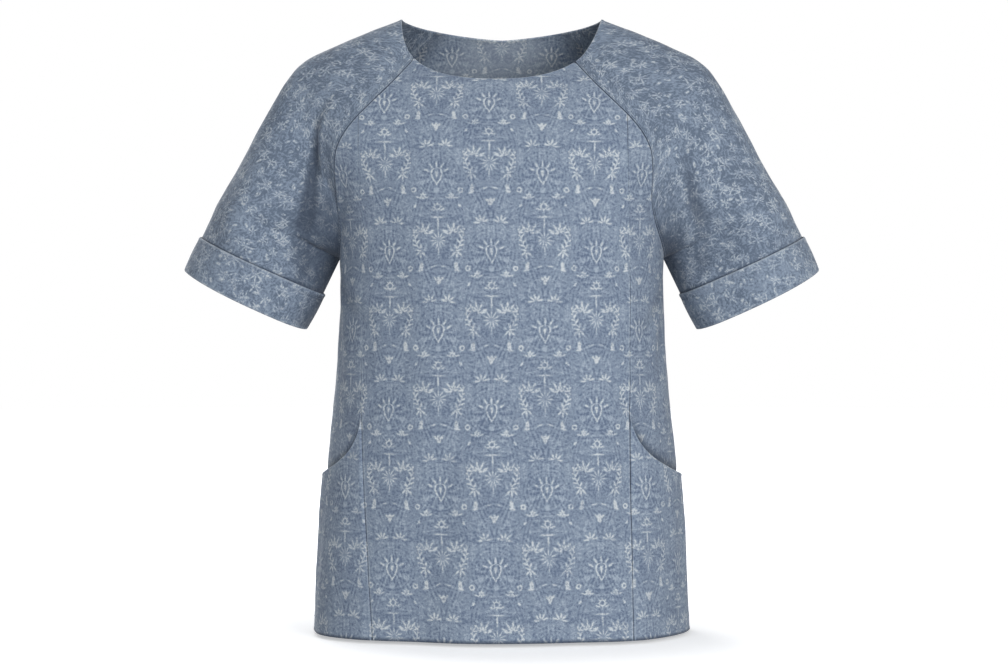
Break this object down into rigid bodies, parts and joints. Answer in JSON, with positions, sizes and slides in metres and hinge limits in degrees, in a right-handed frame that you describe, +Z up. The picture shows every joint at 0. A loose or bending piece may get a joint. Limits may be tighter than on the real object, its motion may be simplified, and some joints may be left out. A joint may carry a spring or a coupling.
{
  "type": "tunic top",
  "caption": "Hollow worn tunic top with raglan short sleeves, turn-up cuffs, a wide round neck and scooped side pockets.",
  "frame": {"origin": "on the middle plane, level with the neck points of the shoulders, where the wearer carries the cloth", "axes": "+Z up, the front faces -Y, +X is the wearer's left"},
  "size_m": [0.7128, 0.2989, 0.6836],
  "materials": {
    "body_print": "matte woven cotton, slate blue with a small tonal and off-white scroll print",
    "sleeve_print": "matte woven cotton, slate blue with a small tonal and off-white scroll print",
    "cuff_print": "matte woven cotton, slate blue with a small tonal and off-white scroll print",
    "pocket_print": "matte woven cotton, slate blue with a small tonal and off-white scroll print"
  },
  "bodies": {
    "root": {"centre_front": "body_print", "side_front_left": "body_print", "side_front_right": "body_print", "back": "body_print", "sleeve_left": "sleeve_print", "sleeve_right": "sleeve_print", "cuff_left": "cuff_print", "cuff_right": "cuff_print", "pocket_left": "pocket_print", "pocket_right": "pocket_print"}
  },
  "joints": []
}
